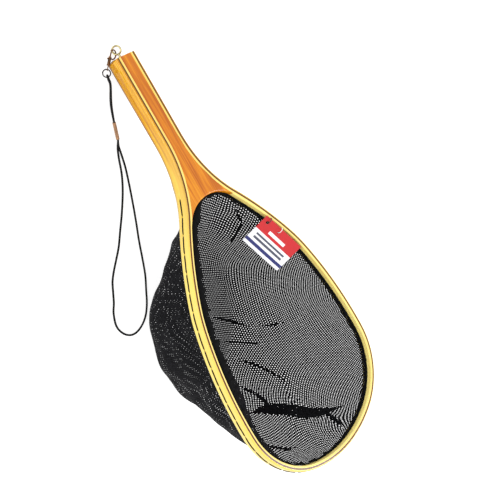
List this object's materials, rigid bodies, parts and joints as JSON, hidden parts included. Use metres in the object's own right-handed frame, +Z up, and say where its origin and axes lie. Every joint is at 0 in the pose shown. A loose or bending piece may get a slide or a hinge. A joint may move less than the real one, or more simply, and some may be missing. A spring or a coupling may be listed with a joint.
{
  "type": "landing net",
  "caption": "Wooden fishing landing net with a laminated bent frame, black mesh bag, wrist lanyard on a swivel snap, and a hang tag.",
  "frame": {"origin": "floor level, at the middle of the net's box without the free cord", "axes": "+X from the handle end to the hoop's tip along the floor, +Z up; the net lies on its bag"},
  "size_m": [0.5054, 0.2375, 0.1957],
  "materials": {
    "core_wood": "gloss varnish",
    "pale_wood": "gloss varnish",
    "dark_wood": "gloss varnish",
    "gold_wood": "gloss varnish",
    "binding_cloth": "matt",
    "netting": "satin",
    "lacing": "satin",
    "pale_brass": "polished",
    "bronze": "satin",
    "black_metal": "satin",
    "cord": "satin",
    "ferrule_metal": "satin",
    "card": "satin",
    "tie": "matt",
    "white_plastic": "gloss"
  },
  "bodies": {
    "frame": {"handle_core": "core_wood", "inner_ply": "pale_wood", "middle_ply": "dark_wood", "outer_ply": "gold_wood", "rim_binding": "binding_cloth", "net_bag": "netting", "lacing_cord": "lacing", "screw_eye": "pale_brass"},
    "snap": {"snap_body": "bronze"},
    "bolt": {"snap_bolt": "bronze"},
    "swivel": {"snap_swivel": "bronze"},
    "ring": {"lanyard_ring": "black_metal"},
    "lanyard": {"lanyard_cord": "cord", "ferrule": "ferrule_metal"},
    "tag": {"hang_tag": "card", "tag_tie": "tie", "tag_pin": "white_plastic"}
  },
  "joints": [
    {"name": "snap_swing", "type": "hinge", "parent": "frame", "child": "snap", "pos_m": [-0.24411, -0.00302, 0.00449], "axis": [0.6872, 0.4027, 0.6047], "range_deg": [-30, 0]},
    {"name": "bolt_slide", "type": "slide", "parent": "snap", "child": "bolt", "axis": [0.8131, -0.5743, -0.095], "range_m": [0, 0.0022], "stiffness_N_per_m": 60},
    {"name": "swivel_turn", "type": "hinge", "parent": "snap", "child": "swivel", "pos_m": [-0.23294, -0.01802, 0.00417], "axis": [0.8131, -0.5743, -0.095], "continuous": true},
    {"name": "ring_swing", "type": "hinge", "parent": "swivel", "child": "ring", "pos_m": [-0.23131, -0.01917, 0.00398], "axis": [-0.2895, -0.5406, 0.7899], "range_deg": [-30, 0]},
    {"name": "lanyard_swing", "type": "hinge", "parent": "ring", "child": "lanyard", "pos_m": [-0.22494, -0.0216, 0.00463], "axis": [0.0284, 0.8199, 0.5719], "range_deg": [-60, 0]},
    {"name": "tag_swing", "type": "hinge", "parent": "frame", "child": "tag", "pos_m": [-0.00889, 0.06907, 0.1066], "axis": [0.8713, 0.3746, 0.3171], "range_deg": [-40, 10]}
  ]
}
